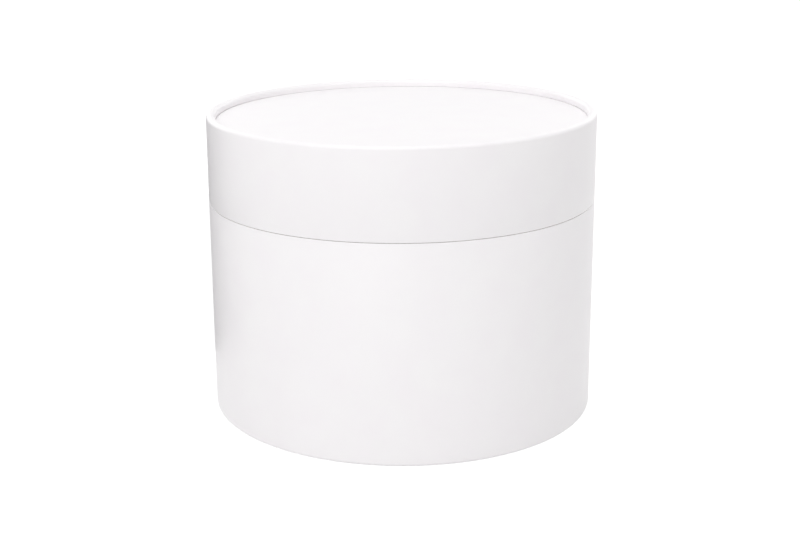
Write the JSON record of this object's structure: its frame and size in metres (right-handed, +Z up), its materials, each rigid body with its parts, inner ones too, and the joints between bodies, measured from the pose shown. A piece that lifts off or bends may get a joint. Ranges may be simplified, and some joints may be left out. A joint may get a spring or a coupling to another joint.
{
  "type": "round gift box",
  "caption": "Round paper tube box with a curled foot and a flush lift-off lid that slips over an inner neck.",
  "frame": {"origin": "centre of the foot on the surface that the box stands on", "axes": "+Z up along the box's axis, -Y towards the picture's camera, +Y to the back where the paper laps"},
  "size_m": [0.12, 0.1201, 0.0935],
  "materials": {
    "outer_paper": "smooth white cover paper, matt with a faint sheen",
    "panel_paper": "smooth white cover paper, matt with a faint sheen",
    "inner_ply": "uncoated white tube ply, matt",
    "disc_paper": "uncoated white lining paper, matt",
    "wound_board": "grey tube board in plies, cut edge",
    "disc_board": "solid grey board, die cut",
    "white_board": "white-lined board, cut edge"
  },
  "bodies": {
    "base": {"base_wrap": "outer_paper", "base_tube": "wound_board", "base_liner": "inner_ply", "foot_paper": "disc_paper", "base_disc": "disc_board", "floor_paper": "disc_paper", "neck_tube": "wound_board", "neck_skin": "inner_ply", "neck_liner": "inner_ply"},
    "lid": {"lid_wrap": "outer_paper", "lid_tube": "wound_board", "lid_liner": "inner_ply", "lid_panel": "panel_paper", "lid_disc": "disc_board", "ceiling_paper": "disc_paper", "lid_ring": "white_board"}
  },
  "joints": [
    {"name": "lid_lift", "type": "slide", "parent": "base", "child": "lid", "axis": [0, 0, 1], "range_m": [0, 0.1]}
  ]
}
